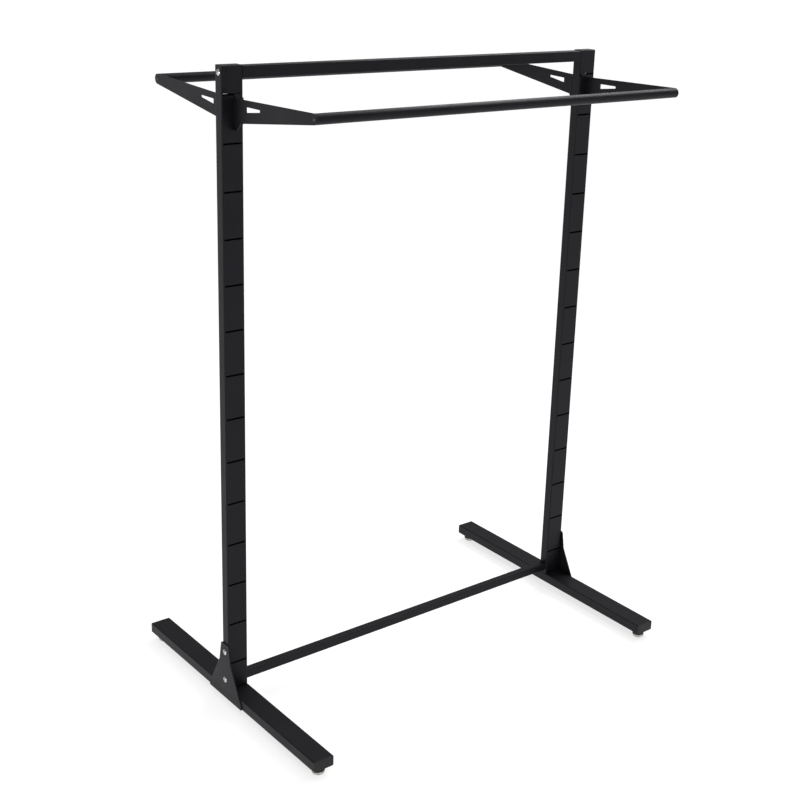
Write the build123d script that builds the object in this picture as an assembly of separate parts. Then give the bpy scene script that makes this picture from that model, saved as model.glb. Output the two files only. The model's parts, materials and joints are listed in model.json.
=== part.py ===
from build123d import *
import math
import os

# A double-sided garment rack: two slotted uprights on base rails, joined by two crossbars, with a
# hang rail on hook-in brackets in front and behind. X runs along the hang rails, Y from front to
# back and Z up. The origin is on the floor, at the middle of the rack. Sizes are in millimetres.

# Main frame
UPRIGHT_SPACING = 1000.0  # between the centre lines of the two uprights
TOTAL_HEIGHT = 1470.0
BASE_LENGTH = 734.0  # front to back, over the end caps
BASE_LIFT = 20.0  # underside of the base rails above the floor
TUBE_WIDTH = 50.0
TUBE_DEPTH = 25.0
TUBE_WALL = 1.5
TUBE_CORNER = 2.5

# Slots for hooks, in the front and back faces of the uprights
SLOT_COUNT = 14
SLOT_PITCH = 100.0
SLOT_FIRST = 112.0  # height of the lowest slot above the floor
SLOT_LENGTH = 44.0
SLOT_HEIGHT = 4.3
SLOT_CORNER = 1.0

# Crossbars, square tubes between the uprights
TOP_BAR_SIZE = 25.0
BOTTOM_BAR_SIZE = 20.0
BOTTOM_BAR_CENTRE = 66.5
BAR_WALL = 1.5
BAR_CORNER = 2.0
INSERT_LENGTH = 20.0
INSERT_PAST_SCREW = 2.0

# Plastic end caps
CAP_FLANGE = 2.0
CAP_EDGE = 1.0
CAP_DEPTH = 9.0
CAP_WALL = 2.0
CAP_GAP = 0.1

# Gusset plates on the outer sides of the uprights
GUSSET_THICKNESS = 2.5
GUSSET_BOTTOM = 19.5
GUSSET_TOP = 160.5
GUSSET_FOOT_HALF = 71.5
GUSSET_FOOT_RISE = 5.5
GUSSET_WAIST_HALF = 24.0
GUSSET_WAIST_HEIGHT = 114.0
GUSSET_TOP_HALF = 16.0
GUSSET_CORNER = 5.0
GUSSET_FOOT_CHAMFER = 2.5
GUSSET_SCREW_HEIGHT = 138.5

# Screws and nuts
SCREW_RADIUS = 2.95
SCREW_HOLE = 3.4
THREAD_HOLE = 3.0
HEAD_RADIUS = 6.75
HEAD_HEIGHT = 3.4
RECESS_LENGTH = 7.0
RECESS_WIDTH = 1.5
RECESS_DEPTH = 2.0
RIVET_NUT_RADIUS = 4.5
RIVET_NUT_LENGTH = 12.0

# Brackets, folded from sheet, that hook into the top slots
SHEET = 2.5
HOOK_GAP = 0.3  # between a bracket and the upright's wall
HOOK_LAP = 1.0  # how far the hook runs down into the flange
FOLD_RADIUS = 2.0
PLATE_INSET = 3.0  # plate's inner side, in from the upright's centre line
RAIL_REACH = 306.0  # hang rail's axis from the rack's middle plane
RAIL_DROP = 8.0  # hang rail's axis below the top slot
BRACKET_ROOT_TOP = 7.0  # plate's top edge below the top slot, at the upright
BRACKET_ROOT_BOTTOM = 72.0
BRACKET_FOOT_REACH = 28.0
BRACKET_KNEE_REACH = 43.0
BRACKET_KNEE_DROP = 55.0
FLANGE_WIDTH = 24.0
FLANGE_CHAMFER = 12.0
TONGUE_WIDTH = 15.5
TONGUE_INSET = 2.0  # tongue set in from the plate
LIP_RISE = 5.0
CUTOUT_NEAR = 64.0
CUTOUT_FAR = 116.5
CUTOUT_TOP_DROP = 18.5
CUTOUT_RISE = 1.0  # window's top edge climbs this much towards the rail
CUTOUT_NEAR_HEIGHT = 11.5
CUTOUT_FAR_HEIGHT = 5.0
CUTOUT_CORNER = 1.5

# Hang rails
RAIL_RADIUS = 11.0
RAIL_WALL = 1.5
PLUG_LENGTH = 18.0
RAIL_SCREW_LENGTH = 16.0
RAIL_SCREW_HEAD = 3.8
RAIL_SCREW_HEAD_HEIGHT = 2.2

# Levelling feet
FOOT_FROM_END = 22.0
PAD_RADIUS = 15.0
PAD_HEIGHT = 9.5
PAD_SOLE_RADIUS = 11.5
PAD_BAND_RADIUS = 14.3
PAD_ROUND = 0.8
PAD_WALL = 2.0
PAD_BOSS_RADIUS = 6.5
PAD_POCKET_FLOOR = 3.0
KNOB_RADIUS = 14.5
KNOB_GROOVES = 20
KNOB_GROOVE_RADIUS = 0.9
KNOB_GROOVE_CIRCLE = 14.8
KNOB_CHAMFER = 0.8
PART_GAP = 0.3  # between the pieces of a levelling foot that turn past each other
STUD_RADIUS = 3.95
STUD_HOLE = 4.0
STUD_TOP = 41.0
THREAD_PITCH = 1.25
THREAD_DEPTH = 0.6
NUT_FLANGE_RADIUS = 7.0
NUT_FLANGE_HEIGHT = 1.0
NUT_BARREL_RADIUS = 5.5
NUT_LENGTH = 14.0

# Worked out from the above
SIDES = {"left": -1, "right": 1}
ENDS = {"front": -1, "rear": 1}
UPRIGHT_X = UPRIGHT_SPACING / 2
OUTER_FACE = UPRIGHT_X + TUBE_WIDTH / 2
BASE_TOP = BASE_LIFT + TUBE_DEPTH
TUBE_TOP = TOTAL_HEIGHT - CAP_FLANGE
TOP_SLOT = SLOT_FIRST + (SLOT_COUNT - 1) * SLOT_PITCH
BAR_LENGTH = UPRIGHT_SPACING - TUBE_WIDTH
TOP_BAR_CENTRE = TUBE_TOP - TOP_BAR_SIZE / 2
BAR_SCREW_LENGTH = TUBE_WIDTH + INSERT_LENGTH - INSERT_PAST_SCREW
PLATE_INNER = UPRIGHT_X - PLATE_INSET
FOOT_Y = BASE_LENGTH / 2 - FOOT_FROM_END


def tube(length, width, depth, wall, corner):
    """A rectangular tube along +Z from the origin, with rounded corners."""
    outside = RectangleRounded(width, depth, corner)
    inside = RectangleRounded(width - 2 * wall, depth - 2 * wall, corner - wall)
    return extrude(outside - inside, length)


def along_x(shape):
    """Turns a shape that lies along +Z so that it lies along +X."""
    return Rot(0, 90, 0) * shape


def along_y(shape):
    """Turns a shape that lies along +Z so that it lies along +Y."""
    return Rot(-90, 0, 0) * shape


def cap(width, depth, wall, corner):
    """An end cap with its flange from z = 0 to its thickness and its hollow plug below."""
    flange = extrude(RectangleRounded(width, depth, corner), CAP_FLANGE)
    rim = flange.edges().group_by(Axis.Z)[-1]
    flange = fillet(rim, CAP_EDGE)
    plug_width = width - 2 * (wall + CAP_GAP)
    plug_depth = depth - 2 * (wall + CAP_GAP)
    plug = RectangleRounded(plug_width, plug_depth, corner - wall)
    plug -= Rectangle(plug_width - 2 * CAP_WALL, plug_depth - 2 * CAP_WALL)
    return flange + extrude(plug, -CAP_DEPTH)


def dome_head(radius, height):
    """A domed screw head that sits on z = 0, with a cross recess in its crown."""
    sphere_radius = (radius**2 + height**2) / (2 * height)
    ball = Pos(0, 0, height - sphere_radius) * Sphere(sphere_radius)
    blank = Cylinder(radius, height, align=(Align.CENTER, Align.CENTER, Align.MIN))
    scale = radius / HEAD_RADIUS
    blade = Box(RECESS_LENGTH * scale, RECESS_WIDTH * scale, RECESS_DEPTH * scale)
    cross = blade + Rot(0, 0, 90) * blade
    return (ball & blank) - Pos(0, 0, height - RECESS_DEPTH * scale / 2) * cross


def screw(radius, length, head_radius, head_height):
    """A screw whose head sits on z = 0 and whose shank goes down."""
    shank = Cylinder(radius, length, align=(Align.CENTER, Align.CENTER, Align.MAX))
    return dome_head(head_radius, head_height) + shank


def side_screw(side, x, height, length):
    """A screw driven inwards, along X, into the outer side of an upright."""
    upright_screw = screw(SCREW_RADIUS, length, HEAD_RADIUS, HEAD_HEIGHT)
    return Pos(side * x, 0, height) * Rot(0, side * 90, 0) * upright_screw


def side_hole(side, radius, height, depth):
    """A drill along X, from outside an upright to the given depth below its outer face."""
    drill = Cylinder(radius, 2 * depth)
    return Pos(side * OUTER_FACE, 0, height) * along_x(drill)


def upright(side):
    body = Pos(side * UPRIGHT_X, 0, BASE_TOP) * tube(
        TUBE_TOP - BASE_TOP, TUBE_WIDTH, TUBE_DEPTH, TUBE_WALL, TUBE_CORNER
    )
    slot = along_y(extrude(RectangleRounded(SLOT_LENGTH, SLOT_HEIGHT, SLOT_CORNER), TUBE_DEPTH, both=True))
    for step in range(SLOT_COUNT):
        body -= Pos(side * UPRIGHT_X, 0, SLOT_FIRST + step * SLOT_PITCH) * slot
    body -= side_hole(side, SCREW_HOLE, TOP_BAR_CENTRE, TUBE_WIDTH + 1)
    body -= side_hole(side, SCREW_HOLE, BOTTOM_BAR_CENTRE, TUBE_WIDTH + 1)
    body -= side_hole(side, RIVET_NUT_RADIUS, GUSSET_SCREW_HEIGHT, TUBE_DEPTH)
    return body


def upright_cap(side):
    return Pos(side * UPRIGHT_X, 0, TUBE_TOP) * cap(TUBE_WIDTH, TUBE_DEPTH, TUBE_WALL, TUBE_CORNER)


def base_rail(side):
    length = BASE_LENGTH - 2 * CAP_FLANGE
    body = along_y(Pos(0, 0, -length / 2) * tube(length, TUBE_WIDTH, TUBE_DEPTH, TUBE_WALL, TUBE_CORNER))
    body = Pos(side * UPRIGHT_X, 0, BASE_LIFT + TUBE_DEPTH / 2) * body
    for end in ENDS.values():
        body -= Pos(side * UPRIGHT_X, end * FOOT_Y, BASE_LIFT) * Cylinder(NUT_BARREL_RADIUS, TUBE_DEPTH)
    return body


def base_cap(side, end):
    lid = Rot(-90 * end, 0, 0) * cap(TUBE_WIDTH, TUBE_DEPTH, TUBE_WALL, TUBE_CORNER)
    end_of_tube = BASE_LENGTH / 2 - CAP_FLANGE
    return Pos(side * UPRIGHT_X, end * end_of_tube, BASE_LIFT + TUBE_DEPTH / 2) * lid


def crossbar(size, height):
    bar = along_x(Pos(0, 0, -BAR_LENGTH / 2) * tube(BAR_LENGTH, size, size, BAR_WALL, BAR_CORNER))
    return Pos(0, 0, height) * bar


def bar_insert(side, size, height):
    """A threaded block in the end of a crossbar, which the screw through the upright pulls on."""
    block_size = size - 2 * (BAR_WALL + CAP_GAP)
    section = RectangleRounded(block_size, block_size, BAR_CORNER - BAR_WALL) - Circle(THREAD_HOLE)
    block = along_x(extrude(section, INSERT_LENGTH / 2, both=True))
    return Pos(side * (BAR_LENGTH - INSERT_LENGTH) / 2, 0, height) * block


def gusset_outline():
    """Half-widths and heights of the plate, from its foot up to its top, on both sides."""
    half = [
        (GUSSET_FOOT_HALF, GUSSET_BOTTOM),
        (GUSSET_FOOT_HALF, GUSSET_BOTTOM + GUSSET_FOOT_RISE),
        (GUSSET_WAIST_HALF, GUSSET_WAIST_HEIGHT),
        (GUSSET_TOP_HALF, GUSSET_TOP),
    ]
    return half + [(-y, z) for y, z in reversed(half)]


def gusset_plate(side):
    outline = make_face(Plane.YZ * Polyline(gusset_outline(), close=True))
    plate = extrude(outline, GUSSET_THICKNESS, dir=(1, 0, 0))
    corners = plate.edges().filter_by(Axis.X).group_by(Axis.Z)
    plate = fillet(corners[-1], GUSSET_CORNER)
    corners = plate.edges().filter_by(Axis.X).group_by(Axis.Z)
    plate = chamfer(corners[0], GUSSET_FOOT_CHAMFER)
    for height in (BOTTOM_BAR_CENTRE, GUSSET_SCREW_HEIGHT):
        plate -= Pos(0, 0, height) * along_x(Cylinder(SCREW_HOLE, 4 * GUSSET_THICKNESS))
    if side < 0:
        plate = mirror(plate, about=Plane.YZ)
    return Pos(side * OUTER_FACE, 0, 0) * plate


def rivet_nut(side):
    """A blind rivet nut in the outer wall of an upright, behind the gusset's upper screw."""
    barrel = Cylinder(RIVET_NUT_RADIUS, RIVET_NUT_LENGTH) - Cylinder(THREAD_HOLE, RIVET_NUT_LENGTH)
    middle = OUTER_FACE - RIVET_NUT_LENGTH / 2
    return Pos(side * middle, 0, GUSSET_SCREW_HEIGHT) * along_x(barrel)


def tangent_point(start, centre, radius, turn):
    """Where the line from start touches the circle: on its upper side for turn 1, lower for -1."""
    away = math.atan2(start[1] - centre[1], start[0] - centre[0])
    swing = math.acos(radius / math.dist(start, centre))
    angle = away + turn * swing
    return (centre[0] + radius * math.cos(angle), centre[1] + radius * math.sin(angle))


def bracket_plate():
    """The tapered plate in the YZ plane, on the front side, with a round tip at the hang rail."""
    face_y = TUBE_DEPTH / 2 + HOOK_GAP
    tip = (-RAIL_REACH, TOP_SLOT - RAIL_DROP)
    root_top = (-face_y, TOP_SLOT - BRACKET_ROOT_TOP)
    root_bottom = (-face_y, TOP_SLOT - BRACKET_ROOT_BOTTOM)
    foot = (-BRACKET_FOOT_REACH, TOP_SLOT - BRACKET_ROOT_BOTTOM)
    knee = (-BRACKET_KNEE_REACH, TOP_SLOT - BRACKET_KNEE_DROP)
    outline = [
        root_top,
        tangent_point(root_top, tip, RAIL_RADIUS, 1),
        tangent_point(knee, tip, RAIL_RADIUS, -1),
        knee,
        foot,
        root_bottom,
    ]
    plate = make_face(Plane.YZ * Polyline(outline, close=True)) + Plane.YZ * Pos(*tip) * Circle(RAIL_RADIUS)
    plate = extrude(plate, SHEET, dir=(1, 0, 0))
    plate -= bracket_cutout()
    plate -= Pos(0, *tip) * along_x(Cylinder(SCREW_HOLE, 4 * SHEET))
    return Pos(PLATE_INNER, 0, 0) * plate


def bracket_cutout():
    """The tapered window near the root of a bracket's plate."""
    top = TOP_SLOT - CUTOUT_TOP_DROP
    corners = [
        (-CUTOUT_NEAR, top),
        (-CUTOUT_FAR, top + CUTOUT_RISE),
        (-CUTOUT_FAR, top + CUTOUT_RISE - CUTOUT_FAR_HEIGHT),
        (-CUTOUT_NEAR, top - CUTOUT_NEAR_HEIGHT),
    ]
    window = extrude(make_face(Plane.YZ * Polyline(corners, close=True)), 2 * SHEET, dir=(1, 0, 0), both=True)
    return fillet(window.edges().filter_by(Axis.X), CUTOUT_CORNER)


def bracket_flange():
    """The flange folded inwards from the plate, flat against the front face of the upright."""
    outer = PLATE_INNER + SHEET
    inner = outer - FLANGE_WIDTH
    bottom = TOP_SLOT - BRACKET_ROOT_BOTTOM
    top = TOP_SLOT - BRACKET_ROOT_TOP
    outline = [
        (outer, bottom),
        (outer, top),
        (inner, top),
        (inner, bottom + FLANGE_CHAMFER),
        (inner + FLANGE_CHAMFER, bottom),
    ]
    back = TUBE_DEPTH / 2 + HOOK_GAP
    flange = extrude(make_face(Plane.XZ * Polyline(outline, close=True)), SHEET, dir=(0, -1, 0))
    return Pos(0, -back, 0) * flange


def bracket_hook():
    """The tongue through the top slot, with a lip that stands up behind the wall."""
    front = -(TUBE_DEPTH / 2 + HOOK_GAP + SHEET)
    wall_inside = -(TUBE_DEPTH / 2 - TUBE_WALL)
    lip_front = wall_inside + HOOK_GAP
    lip_back = lip_front + SHEET
    tongue_top = TOP_SLOT + SHEET / 2
    tongue_bottom = TOP_SLOT - SHEET / 2
    flange_top = TOP_SLOT - BRACKET_ROOT_TOP - HOOK_LAP
    outline = [
        (front, flange_top),
        (front, tongue_top),
        (lip_front, tongue_top),
        (lip_front, tongue_top + LIP_RISE),
        (lip_back, tongue_top + LIP_RISE),
        (lip_back, tongue_bottom),
        (front + SHEET, tongue_bottom),
        (front + SHEET, flange_top),
    ]
    hook = extrude(make_face(Plane.YZ * Polyline(outline, close=True)), TONGUE_WIDTH, dir=(-1, 0, 0))
    folds = hook.edges().filter_by(Axis.X)
    front_fold = folds.sort_by_distance((0, front, tongue_top))[0]
    back_fold = folds.sort_by_distance((0, lip_back, tongue_bottom))[0]
    return Pos(PLATE_INNER - TONGUE_INSET, 0, 0) * fillet([front_fold, back_fold], FOLD_RADIUS)


def bracket(side, end):
    """One bracket, made for the front right corner and mirrored to its place."""
    body = bracket_plate() + bracket_flange() + bracket_hook()
    if side < 0:
        body = mirror(body, about=Plane.YZ)
    if end > 0:
        body = mirror(body, about=Plane.XZ)
    return body


def hang_rail(end):
    length = 2 * PLATE_INNER
    pipe = Cylinder(RAIL_RADIUS, length) - Cylinder(RAIL_RADIUS - RAIL_WALL, length)
    return Pos(0, end * RAIL_REACH, TOP_SLOT - RAIL_DROP) * along_x(pipe)


def rail_plug(side, end):
    """A threaded plug in the end of a hang rail."""
    plug = Cylinder(RAIL_RADIUS - RAIL_WALL, PLUG_LENGTH) - Cylinder(THREAD_HOLE, PLUG_LENGTH)
    middle = PLATE_INNER - PLUG_LENGTH / 2
    return Pos(side * middle, end * RAIL_REACH, TOP_SLOT - RAIL_DROP) * along_x(plug)


def rail_screw(side, end):
    fixing = screw(SCREW_RADIUS, RAIL_SCREW_LENGTH, RAIL_SCREW_HEAD, RAIL_SCREW_HEAD_HEIGHT)
    outside = PLATE_INNER + SHEET
    return Pos(side * outside, end * RAIL_REACH, TOP_SLOT - RAIL_DROP) * Rot(0, side * 90, 0) * fixing


def foot_pad():
    """The plated sole of a levelling foot: a bowl with a boss in its middle that the stud turns in."""
    outline = Polyline(
        [
            (0, 0),
            (PAD_SOLE_RADIUS, 0),
            (PAD_BAND_RADIUS, PAD_POCKET_FLOOR),
            (PAD_RADIUS, PAD_HEIGHT - PAD_ROUND),
            (PAD_RADIUS - PAD_ROUND, PAD_HEIGHT),
            (PAD_RADIUS - PAD_WALL, PAD_HEIGHT),
            (PAD_RADIUS - PAD_WALL, PAD_POCKET_FLOOR),
            (PAD_BOSS_RADIUS, PAD_POCKET_FLOOR),
            (PAD_BOSS_RADIUS, PAD_HEIGHT),
            (STUD_HOLE, PAD_HEIGHT),
            (STUD_HOLE, PAD_POCKET_FLOOR),
            (0, PAD_POCKET_FLOOR),
        ],
        close=True,
    )
    return revolve(make_face(Plane.XZ * outline), Axis.Z)


def foot_knob():
    """The grooved grip fixed on the stud, between the pad and the insert in the base rail."""
    bottom = PAD_HEIGHT + PART_GAP
    height = BASE_LIFT - NUT_FLANGE_HEIGHT - PART_GAP - bottom
    grip = Cylinder(KNOB_RADIUS, height) - Cylinder(STUD_RADIUS, height)
    rims = grip.edges().filter_by(GeomType.CIRCLE).group_by(SortBy.RADIUS)[-1]
    grip = chamfer(rims, KNOB_CHAMFER)
    groove = Cylinder(KNOB_GROOVE_RADIUS, height)
    for turn in range(KNOB_GROOVES):
        grip -= Rot(0, 0, turn * 360 / KNOB_GROOVES) * Pos(KNOB_GROOVE_CIRCLE, 0, 0) * groove
    return Pos(0, 0, bottom + height / 2) * grip


def foot_stud():
    """The threaded stud: plain in the pad and the knob, then one ring of thread for each pitch."""
    thread_start = BASE_LIFT - NUT_FLANGE_HEIGHT - PART_GAP
    turns = int((STUD_TOP - thread_start) / THREAD_PITCH)
    outline = [(0, PAD_POCKET_FLOOR + PART_GAP), (STUD_RADIUS, PAD_POCKET_FLOOR + PART_GAP)]
    for turn in range(turns):
        base = thread_start + turn * THREAD_PITCH
        outline += [(STUD_RADIUS, base), (STUD_RADIUS - THREAD_DEPTH, base + THREAD_PITCH / 2)]
    outline += [(STUD_RADIUS, thread_start + turns * THREAD_PITCH), (0, thread_start + turns * THREAD_PITCH)]
    return revolve(make_face(Plane.XZ * Polyline(outline, close=True)), Axis.Z)


def foot_nut(side, end):
    """The threaded insert in the underside of a base rail."""
    flange = Pos(0, 0, -NUT_FLANGE_HEIGHT / 2) * Cylinder(NUT_FLANGE_RADIUS, NUT_FLANGE_HEIGHT)
    barrel = Pos(0, 0, NUT_LENGTH / 2) * Cylinder(NUT_BARREL_RADIUS, NUT_LENGTH)
    nut = flange + barrel - Cylinder(STUD_HOLE, 3 * NUT_LENGTH)
    return Pos(side * UPRIGHT_X, end * FOOT_Y, BASE_LIFT) * nut


def frame_nodes():
    """Everything that stands still: base rails, uprights, crossbars and what joins them."""
    nodes = {
        "top_crossbar": crossbar(TOP_BAR_SIZE, TOP_BAR_CENTRE),
        "bottom_crossbar": crossbar(BOTTOM_BAR_SIZE, BOTTOM_BAR_CENTRE),
    }
    for name, side in SIDES.items():
        nodes[f"base_rail_{name}"] = base_rail(side)
        nodes[f"upright_{name}"] = upright(side)
        nodes[f"upright_cap_{name}"] = upright_cap(side)
        nodes[f"gusset_plate_{name}"] = gusset_plate(side)
        nodes[f"top_bar_insert_{name}"] = bar_insert(side, TOP_BAR_SIZE, TOP_BAR_CENTRE)
        nodes[f"bottom_bar_insert_{name}"] = bar_insert(side, BOTTOM_BAR_SIZE, BOTTOM_BAR_CENTRE)
        for end_name, end in ENDS.items():
            nodes[f"base_cap_{end_name}_{name}"] = base_cap(side, end)
    return nodes


def fastener_nodes():
    """Identical fasteners share a node, one solid each."""
    sides = SIDES.values()
    gusset_face = OUTER_FACE + GUSSET_THICKNESS
    corners = [(side, end) for side in sides for end in ENDS.values()]
    return {
        "top_bar_screws": [side_screw(s, OUTER_FACE, TOP_BAR_CENTRE, BAR_SCREW_LENGTH) for s in sides],
        "bottom_bar_screws": [side_screw(s, gusset_face, BOTTOM_BAR_CENTRE, BAR_SCREW_LENGTH) for s in sides],
        "gusset_screws": [side_screw(s, gusset_face, GUSSET_SCREW_HEIGHT, RIVET_NUT_LENGTH) for s in sides],
        "gusset_rivet_nuts": [rivet_nut(side) for side in sides],
        "foot_nuts": [foot_nut(side, end) for side, end in corners],
    }


def rail_nodes():
    """The two hook-in rail frames, front and rear."""
    nodes = {}
    for end_name, end in ENDS.items():
        nodes[f"{end_name}_hang_rail"] = hang_rail(end)
        nodes[f"{end_name}_rail_screws"] = [rail_screw(side, end) for side in SIDES.values()]
        for name, side in SIDES.items():
            nodes[f"{end_name}_bracket_{name}"] = bracket(side, end)
            nodes[f"{end_name}_rail_plug_{name}"] = rail_plug(side, end)
    return nodes


def foot_nodes():
    """The four levelling feet, each a pad, a knob and a stud."""
    nodes = {}
    for name, side in SIDES.items():
        for end_name, end in ENDS.items():
            place = Pos(side * UPRIGHT_X, end * FOOT_Y, 0)
            nodes[f"foot_pad_{end_name}_{name}"] = place * foot_pad()
            nodes[f"foot_knob_{end_name}_{name}"] = place * foot_knob()
            nodes[f"foot_stud_{end_name}_{name}"] = place * foot_stud()
    return nodes


def main():
    os.makedirs("parts", exist_ok=True)
    nodes = {**frame_nodes(), **fastener_nodes(), **rail_nodes(), **foot_nodes()}
    for name, shape in nodes.items():
        solids = shape if isinstance(shape, list) else shape.solids()
        export_step(Compound(children=list(solids)), f"parts/{name}.step")


main()
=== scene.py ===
import json
import math

import bpy
from mathutils import Euler, Matrix, Vector


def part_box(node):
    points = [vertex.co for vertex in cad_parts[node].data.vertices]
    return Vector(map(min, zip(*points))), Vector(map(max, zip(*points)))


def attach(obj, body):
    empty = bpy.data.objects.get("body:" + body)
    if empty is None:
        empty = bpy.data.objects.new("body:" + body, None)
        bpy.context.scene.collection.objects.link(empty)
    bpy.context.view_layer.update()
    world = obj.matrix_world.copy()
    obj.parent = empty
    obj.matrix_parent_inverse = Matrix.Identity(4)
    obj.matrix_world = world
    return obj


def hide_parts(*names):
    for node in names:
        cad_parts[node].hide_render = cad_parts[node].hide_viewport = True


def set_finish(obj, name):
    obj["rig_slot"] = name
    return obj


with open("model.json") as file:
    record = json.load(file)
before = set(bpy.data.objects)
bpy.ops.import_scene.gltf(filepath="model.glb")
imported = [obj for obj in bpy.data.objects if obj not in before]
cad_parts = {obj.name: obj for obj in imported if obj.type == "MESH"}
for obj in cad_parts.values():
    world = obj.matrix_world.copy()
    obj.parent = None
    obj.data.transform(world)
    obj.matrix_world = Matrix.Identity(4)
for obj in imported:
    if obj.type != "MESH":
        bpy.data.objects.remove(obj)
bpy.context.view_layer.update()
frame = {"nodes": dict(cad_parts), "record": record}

RECORD = frame["record"]
MM = 0.001

# The rack is seen from its left front, from a little above the hang rails.
CAMERA_PLACE = (-1.9343, -2.4576, 1.8051)
CAMERA_HEADING = -41.102  # degrees, counter-clockwise from +Y
CAMERA_DOWN = 18.244  # degrees below the horizon
CAMERA_ROLL = 2.801  # degrees
CAMERA_LENS = 61.807  # millimetres, as is SENSOR_WIDTH
CAMERA_SHIFT = (-0.1014, -0.0572)
SENSOR_WIDTH = 36
NEAR_CLIP = 0.05
FAR_CLIP = 300

# Soft area lights: name, place, point it faces, width, height, power.
LIGHTS = (
    ("corner_strip", (-3.5, -1.76, 1.0), (-0.5, 0.0, 0.9), 0.4, 2.0, 22),
    ("overhead_softbox", (1.9, 0.3, 3.1), (0.2, -0.2, 1.35), 2.4, 0.5, 50),
)
SKY_LOW = 0.8  # at the horizon
SKY_HIGH = 0.12  # overhead
SKY_REACH = 0.6  # sine of the angle above the horizon where the sky has faded to SKY_HIGH
SUN_STRENGTH = 1.6
SUN_SPREAD = 85  # degrees, wide enough that its shadows have no edge
FLOOR_GLOW = 0.72
FLOOR_SIZE = 120
FLOOR_DROP = 0.2 * MM  # below the feet, so that no faces lie in one plane

# Sheet parts
MERGE_GAP = 0.002 * MM  # points closer than this are one point
CUT_EDGE = 0.45 * MM  # rounding of a cut edge
FLAT_ANGLE = 1  # degrees: below it, neighbouring triangles are one flat face
SHARP_ANGLE = 40  # degrees: an edge that turns more than this is rounded
SMOOTH_ANGLE = 60  # degrees: an edge that turns more than this is shaded hard
FACE_WEIGHT = 100  # the broad faces set the shading along their edges

# Fillet welds along the slanting edges of the gussets
GUSSET_FOOT = 5.5 * MM  # upright stretch at the bottom of a gusset's edge
GUSSET_LEAN = 0.534  # run towards the middle for each unit of rise
WELD_RADIUS = 1.7 * MM  # at the neck between two pools
WELD_STEP = 0.9 * MM  # from a neck to the next pool
WELD_PROUD = 0.5 * MM  # from the base rail's face out to a bead's middle line
WELD_END = 2 * MM  # from a bead's top end up to the top of the base rail
WELD_SIDES = 12
WELD_START = 0.5  # a bead's foot, as a share of WELD_RADIUS
WELD_SWELL = 1.163  # a pool, as a share of the neck below it
WELD_NECK = 0.86  # a neck, as a share of the pool below it
WELD_CAP = 0.6  # a bead's last step, as a share of WELD_STEP
WELD_TAIL = 0.45  # a bead's top end, as a share of the ring below it


def linear(hex_colour):
    """The linear colour of an sRGB hex value."""
    parts = [int(hex_colour[i:i + 2], 16) / 255 for i in (1, 3, 5)]
    return [p / 12.92 if p <= 0.04045 else ((p + 0.055) / 1.055) ** 2.4 for p in parts] + [1]


def add(tree, kind, inputs=None, **settings):
    """Adds a shader node with its settings, and its inputs' values or links."""
    made = tree.nodes.new("ShaderNode" + kind)
    for name, value in settings.items():
        setattr(made, name, value)
    for name, value in (inputs or {}).items():
        if isinstance(value, bpy.types.NodeSocket):
            tree.links.new(value, made.inputs[name])
        else:
            made.inputs[name].default_value = value
    return made


def new_finish(name):
    """An empty material's node tree, with its shader."""
    material = bpy.data.materials.new(name)
    material.use_nodes = True
    return material, material.node_tree, material.node_tree.nodes["Principled BSDF"]


def satin_powder_coat():
    """Polyester powder baked on steel: deep black, satin, with a faint orange peel and dusty patches."""
    material, tree, shader = new_finish("satin_black_powder_coat")
    place = add(tree, "TexCoord").outputs["Object"]
    peel = add(tree, "TexNoise", {"Vector": place, "Scale": 1 / (2.4 * MM), "Detail": 1.5, "Roughness": 0.4})
    # The powder's own grain is under 0.1 mm, too fine to show, so it is drawn at 0.7 mm.
    grain = add(tree, "TexNoise", {"Vector": place, "Scale": 1 / (0.7 * MM), "Detail": 2.0})
    cloud = add(tree, "TexNoise", {"Vector": place, "Scale": 1 / (85 * MM), "Detail": 4.0, "Roughness": 0.6})
    shade = add(tree, "ValToRGB", {"Fac": cloud.outputs["Fac"]})
    shade.color_ramp.elements[0].position, shade.color_ramp.elements[0].color = 0.34, linear("#0a090c")
    shade.color_ramp.elements[1].position, shade.color_ramp.elements[1].color = 0.72, linear("#131215")
    fleck = add(tree, "MapRange", {
        "Value": grain.outputs["Fac"], "From Min": 0.62, "From Max": 0.8, "To Max": 0.35})
    colour = add(tree, "MixRGB", {
        "Fac": fleck.outputs["Result"], "Color1": shade.outputs["Color"], "Color2": linear("#2b2b2e")})
    gloss = add(tree, "MapRange", {
        "Value": cloud.outputs["Fac"], "From Min": 0.3, "From Max": 0.7, "To Min": 0.42, "To Max": 0.52})
    height = add(tree, "Math", {
        0: grain.outputs["Fac"], 1: 0.3, 2: peel.outputs["Fac"]}, operation="MULTIPLY_ADD")
    bump = add(tree, "Bump", {"Height": height.outputs[0], "Strength": 0.6, "Distance": 0.05 * MM})
    tree.links.new(colour.outputs["Color"], shader.inputs["Base Color"])
    tree.links.new(gloss.outputs["Result"], shader.inputs["Roughness"])
    tree.links.new(bump.outputs["Normal"], shader.inputs["Normal"])
    shader.inputs["IOR"].default_value = 1.5
    shader.inputs["Specular IOR Level"].default_value = 0.18
    shader.inputs["Specular Tint"].default_value = linear("#f3efff")
    return material


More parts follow.
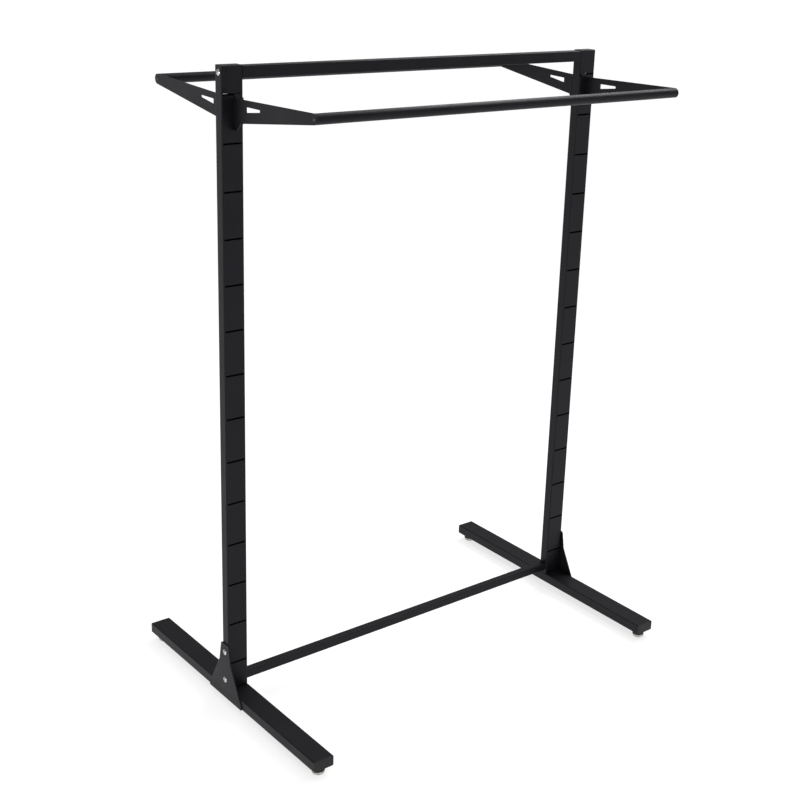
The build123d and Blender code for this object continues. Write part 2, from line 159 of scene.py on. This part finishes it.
def moulded_polyamide():
    """Injection-moulded black polyamide: matt, with the fine spark-eroded grain of its mould."""
    material, tree, shader = new_finish("moulded_black_polyamide")
    place = add(tree, "TexCoord").outputs["Object"]
    # The mould's grain is about 0.15 mm and is drawn at 0.5 mm so that it shows.
    grain = add(tree, "TexNoise", {"Vector": place, "Scale": 1 / (0.5 * MM), "Detail": 3.0, "Roughness": 0.6})
    flow = add(tree, "TexNoise", {"Vector": place, "Scale": 1 / (14 * MM), "Detail": 2.0, "Distortion": 0.8})
    shade = add(tree, "ValToRGB", {"Fac": flow.outputs["Fac"]})
    shade.color_ramp.elements[0].position, shade.color_ramp.elements[0].color = 0.3, linear("#121213")
    shade.color_ramp.elements[1].position, shade.color_ramp.elements[1].color = 0.75, linear("#1c1c1d")
    gloss = add(tree, "MapRange", {
        "Value": grain.outputs["Fac"], "From Min": 0.3, "From Max": 0.7, "To Min": 0.46, "To Max": 0.6})
    bump = add(tree, "Bump", {"Height": grain.outputs["Fac"], "Strength": 0.5, "Distance": 0.04 * MM})
    tree.links.new(shade.outputs["Color"], shader.inputs["Base Color"])
    tree.links.new(gloss.outputs["Result"], shader.inputs["Roughness"])
    tree.links.new(bump.outputs["Normal"], shader.inputs["Normal"])
    shader.inputs["IOR"].default_value = 1.53
    shader.inputs["Specular IOR Level"].default_value = 0.25
    return material


def zinc_plate():
    """Blue-passivated zinc on steel screws: bright, faintly mottled straw and blue, tumbled soft."""
    material, tree, shader = new_finish("blue_passivated_zinc")
    place = add(tree, "TexCoord").outputs["Object"]
    mottle = add(tree, "TexNoise", {"Vector": place, "Scale": 1 / (3.5 * MM), "Detail": 3.0})
    tumble = add(tree, "TexNoise", {"Vector": place, "Scale": 1 / (0.6 * MM), "Detail": 2.0})
    shade = add(tree, "ValToRGB", {"Fac": mottle.outputs["Fac"]})
    shade.color_ramp.elements[0].position, shade.color_ramp.elements[0].color = 0.35, linear("#b9bfc8")
    shade.color_ramp.elements[1].position, shade.color_ramp.elements[1].color = 0.7, linear("#cfccc2")
    gloss = add(tree, "MapRange", {
        "Value": tumble.outputs["Fac"], "From Min": 0.3, "From Max": 0.7, "To Min": 0.22, "To Max": 0.36})
    bump = add(tree, "Bump", {"Height": tumble.outputs["Fac"], "Strength": 0.4, "Distance": 0.03 * MM})
    tree.links.new(shade.outputs["Color"], shader.inputs["Base Color"])
    tree.links.new(gloss.outputs["Result"], shader.inputs["Roughness"])
    tree.links.new(bump.outputs["Normal"], shader.inputs["Normal"])
    shader.inputs["Metallic"].default_value = 1.0
    return material


def black_zinc_plate():
    """Black-passivated zinc on the rail screws: dark with a brown cast, glossier than the coat."""
    material, tree, shader = new_finish("black_passivated_zinc")
    place = add(tree, "TexCoord").outputs["Object"]
    mottle = add(tree, "TexNoise", {"Vector": place, "Scale": 1 / (2.5 * MM), "Detail": 3.0})
    shade = add(tree, "ValToRGB", {"Fac": mottle.outputs["Fac"]})
    shade.color_ramp.elements[0].position, shade.color_ramp.elements[0].color = 0.35, linear("#4a484a")
    shade.color_ramp.elements[1].position, shade.color_ramp.elements[1].color = 0.7, linear("#5a5653")
    gloss = add(tree, "MapRange", {
        "Value": mottle.outputs["Fac"], "From Min": 0.3, "From Max": 0.7, "To Min": 0.28, "To Max": 0.4})
    bump = add(tree, "Bump", {"Height": mottle.outputs["Fac"], "Strength": 0.3, "Distance": 0.02 * MM})
    tree.links.new(shade.outputs["Color"], shader.inputs["Base Color"])
    tree.links.new(gloss.outputs["Result"], shader.inputs["Roughness"])
    tree.links.new(bump.outputs["Normal"], shader.inputs["Normal"])
    shader.inputs["Metallic"].default_value = 1.0
    return material


def nickel_plate():
    """Nickel over pressed steel: warm and mirror-like, dulled in cloudy patches by handling."""
    material, tree, shader = new_finish("bright_nickel_plate")
    place = add(tree, "TexCoord").outputs["Object"]
    haze = add(tree, "TexNoise", {"Vector": place, "Scale": 1 / (6 * MM), "Detail": 4.0, "Roughness": 0.65})
    press = add(tree, "TexNoise", {"Vector": place, "Scale": 1 / (1.8 * MM), "Detail": 1.0})
    shade = add(tree, "ValToRGB", {"Fac": haze.outputs["Fac"]})
    shade.color_ramp.elements[0].position, shade.color_ramp.elements[0].color = 0.35, linear("#a5a29c")
    shade.color_ramp.elements[1].position, shade.color_ramp.elements[1].color = 0.7, linear("#c2c0bb")
    gloss = add(tree, "MapRange", {
        "Value": haze.outputs["Fac"], "From Min": 0.3, "From Max": 0.7, "To Min": 0.1, "To Max": 0.24})
    bump = add(tree, "Bump", {"Height": press.outputs["Fac"], "Strength": 0.25, "Distance": 0.03 * MM})
    tree.links.new(shade.outputs["Color"], shader.inputs["Base Color"])
    tree.links.new(gloss.outputs["Result"], shader.inputs["Roughness"])
    tree.links.new(bump.outputs["Normal"], shader.inputs["Normal"])
    shader.inputs["Metallic"].default_value = 1.0
    return material


def select_only(piece):
    """Makes one object the only one selected, and the active one."""
    bpy.ops.object.select_all(action="DESELECT")
    piece.select_set(True)
    bpy.context.view_layer.objects.active = piece


def apply_modifier(piece, kind, **settings):
    """Adds a modifier to a piece and applies it."""
    modifier = piece.modifiers.new(kind.title(), kind)
    for name, value in settings.items():
        setattr(modifier, name, value)
    select_only(piece)
    bpy.ops.object.modifier_apply(modifier=modifier.name)


def soft_edged_sheet(node_name, piece_name, body):
    """A sheet steel part, its cut edges rounded as the baked coat rounds them."""
    piece = bpy.data.objects.new(piece_name, frame["nodes"][node_name].data.copy())
    bpy.context.scene.collection.objects.link(piece)
    select_only(piece)
    bpy.ops.object.mode_set(mode="EDIT")
    bpy.ops.mesh.select_all(action="SELECT")
    bpy.ops.mesh.remove_doubles(threshold=MERGE_GAP)
    bpy.ops.mesh.dissolve_limited(angle_limit=math.radians(FLAT_ANGLE))
    bpy.ops.object.mode_set(mode="OBJECT")
    bpy.ops.mesh.customdata_custom_splitnormals_clear()
    apply_modifier(
        piece, "BEVEL", width=CUT_EDGE, segments=2, limit_method="ANGLE",
        angle_limit=math.radians(SHARP_ANGLE), use_clamp_overlap=True)
    bpy.ops.object.shade_smooth_by_angle(angle=math.radians(SMOOTH_ANGLE))
    apply_modifier(piece, "WEIGHTED_NORMAL", weight=FACE_WEIGHT, keep_sharp=True)
    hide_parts(node_name)
    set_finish(piece, "black_powder_coat")
    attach(piece, body)
    return piece


def weld_bead(name, foot, length, lean):
    """A fillet weld, laid as a row of overlapping pools from its foot upwards, leaning along its edge."""
    bpy.ops.object.select_all(action="DESELECT")
    bpy.ops.mesh.primitive_circle_add(
        vertices=WELD_SIDES, radius=WELD_RADIUS * WELD_START, fill_type="NGON", location=foot)
    piece = bpy.context.object
    piece.name = name
    bpy.ops.object.mode_set(mode="EDIT")
    bpy.ops.mesh.select_all(action="SELECT")
    for i in range(round(length / WELD_STEP)):
        bpy.ops.mesh.extrude_region_move(TRANSFORM_OT_translate={"value": (0, lean * WELD_STEP, WELD_STEP)})
        grow = 1 / WELD_START if i == 0 else (WELD_NECK, WELD_SWELL)[i % 2]
        bpy.ops.transform.resize(value=(grow, grow, 1))
    bpy.ops.mesh.extrude_region_move(TRANSFORM_OT_translate={"value": (0, 0, WELD_STEP * WELD_CAP)})
    bpy.ops.transform.resize(value=(WELD_TAIL, WELD_TAIL, 1))
    bpy.ops.mesh.select_all(action="SELECT")
    bpy.ops.mesh.normals_make_consistent(inside=False)
    bpy.ops.object.mode_set(mode="OBJECT")
    bpy.ops.object.transform_apply(location=True, rotation=True, scale=True)
    apply_modifier(piece, "SUBSURF", levels=1, render_levels=1)
    bpy.ops.object.shade_smooth_by_angle(angle=math.radians(SMOOTH_ANGLE))
    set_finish(piece, "black_powder_coat")
    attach(piece, "frame")
    return piece


def gusset_welds(side):
    """The two welds that hold one gusset plate to the outer face of its base rail."""
    plate_low, plate_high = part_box("gusset_plate_" + side)
    rail_low, rail_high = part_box("base_rail_" + side)
    face = rail_low.x if side == "left" else rail_high.x
    out = -1 if side == "left" else 1
    foot = plate_low.z + GUSSET_FOOT
    length = rail_high.z - foot - WELD_END
    return [
        weld_bead(f"gusset_weld_{end}_{side}", (face + out * WELD_PROUD, y, foot), length, lean)
        for end, y, lean in (("front", plate_low.y, GUSSET_LEAN), ("rear", plate_high.y, -GUSSET_LEAN))
    ]


def paint(finishes, pieces):
    """Gives every CAD node and every new piece the finish of its slot."""
    slots = {m["slot"]: finishes[m["slot"]] for m in RECORD["materials"]}
    for node in frame["nodes"].values():
        for holder in node.material_slots:
            holder.material = slots[holder.material.name.split(".")[0]]
    for piece in pieces:
        piece.data.materials.clear()
        piece.data.materials.append(slots[piece["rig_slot"]])


def lay_floor():
    """A wide plain pale floor of white acrylic, lit from below so that shadows on it stay faint."""
    bpy.ops.object.select_all(action="DESELECT")
    bpy.ops.mesh.primitive_plane_add(size=FLOOR_SIZE, location=(0, 0, -FLOOR_DROP))
    floor = bpy.context.object
    floor.name = "floor"
    material, tree, shader = new_finish("lit_white_acrylic")
    place = add(tree, "TexCoord").outputs["Object"]
    mottle = add(tree, "TexNoise", {"Vector": place, "Scale": 1 / (400 * MM), "Detail": 2.0})
    shade = add(tree, "ValToRGB", {"Fac": mottle.outputs["Fac"]})
    shade.color_ramp.elements[0].color = linear("#a9a9a9")
    shade.color_ramp.elements[1].color = linear("#aeaeae")
    tree.links.new(shade.outputs["Color"], shader.inputs["Base Color"])
    shader.inputs["Roughness"].default_value = 0.9
    shader.inputs["Specular IOR Level"].default_value = 0.1
    shader.inputs["Emission Color"].default_value = linear("#ffffff")
    shader.inputs["Emission Strength"].default_value = FLOOR_GLOW
    floor.data.materials.append(material)


def light_studio():
    """Soft light from above and all round, a tall strip on the left and a softbox high on the right."""
    world = bpy.data.worlds.new("studio")
    bpy.context.scene.world = world
    world.use_nodes = True
    sky = world.node_tree.nodes["Background"]
    place = add(world.node_tree, "TexCoord").outputs["Generated"]
    height = add(world.node_tree, "SeparateXYZ", {"Vector": place}).outputs["Z"]
    fade = add(world.node_tree, "MapRange", {
        "Value": height, "From Min": 0.0, "From Max": SKY_REACH, "To Min": SKY_LOW, "To Max": SKY_HIGH})
    world.node_tree.links.new(fade.outputs["Result"], sky.inputs["Strength"])
    sky.inputs["Color"].default_value = linear("#ffffff")
    sun = bpy.data.lights.new("overhead", "SUN")
    sun.energy, sun.angle = SUN_STRENGTH, math.radians(SUN_SPREAD)
    bpy.context.scene.collection.objects.link(bpy.data.objects.new("overhead", sun))
    for name, place, target, width, height, power in LIGHTS:
        lamp = bpy.data.lights.new(name, "AREA")
        lamp.shape, lamp.size, lamp.size_y, lamp.energy = "RECTANGLE", width, height, power
        holder = bpy.data.objects.new(name, lamp)
        holder.visible_camera = False
        holder.location = place
        holder.rotation_euler = (Vector(target) - Vector(place)).to_track_quat("-Z", "Y").to_euler()
        bpy.context.scene.collection.objects.link(holder)


def set_camera():
    """The camera that the rack is seen through."""
    lens = bpy.data.cameras.new("camera")
    lens.sensor_width, lens.lens = SENSOR_WIDTH, CAMERA_LENS
    lens.shift_x, lens.shift_y = CAMERA_SHIFT
    lens.clip_start, lens.clip_end = NEAR_CLIP, FAR_CLIP
    holder = bpy.data.objects.new("camera", lens)
    aim = Euler((math.radians(90 - CAMERA_DOWN), 0, math.radians(CAMERA_HEADING))).to_matrix()
    turn = aim @ Matrix.Rotation(math.radians(CAMERA_ROLL), 3, "Z")
    holder.matrix_world = Matrix.Translation(CAMERA_PLACE) @ turn.to_4x4()
    bpy.context.scene.collection.objects.link(holder)
    bpy.context.scene.camera = holder


set_camera()
light_studio()
lay_floor()
bpy.context.scene.view_settings.view_transform = "Standard"

made = []
for end in ("front", "rear"):
    for side in ("left", "right"):
        made.append(soft_edged_sheet(f"{end}_bracket_{side}", f"{end}_arm_{side}", f"{end}_rail"))
for side in ("left", "right"):
    made.append(soft_edged_sheet(f"gusset_plate_{side}", f"gusset_{side}", "frame"))
    made += gusset_welds(side)

paint({
    "black_powder_coat": satin_powder_coat(),
    "black_plastic": moulded_polyamide(),
    "zinc": zinc_plate(),
    "black_zinc": black_zinc_plate(),
    "nickel": nickel_plate(),
}, made)
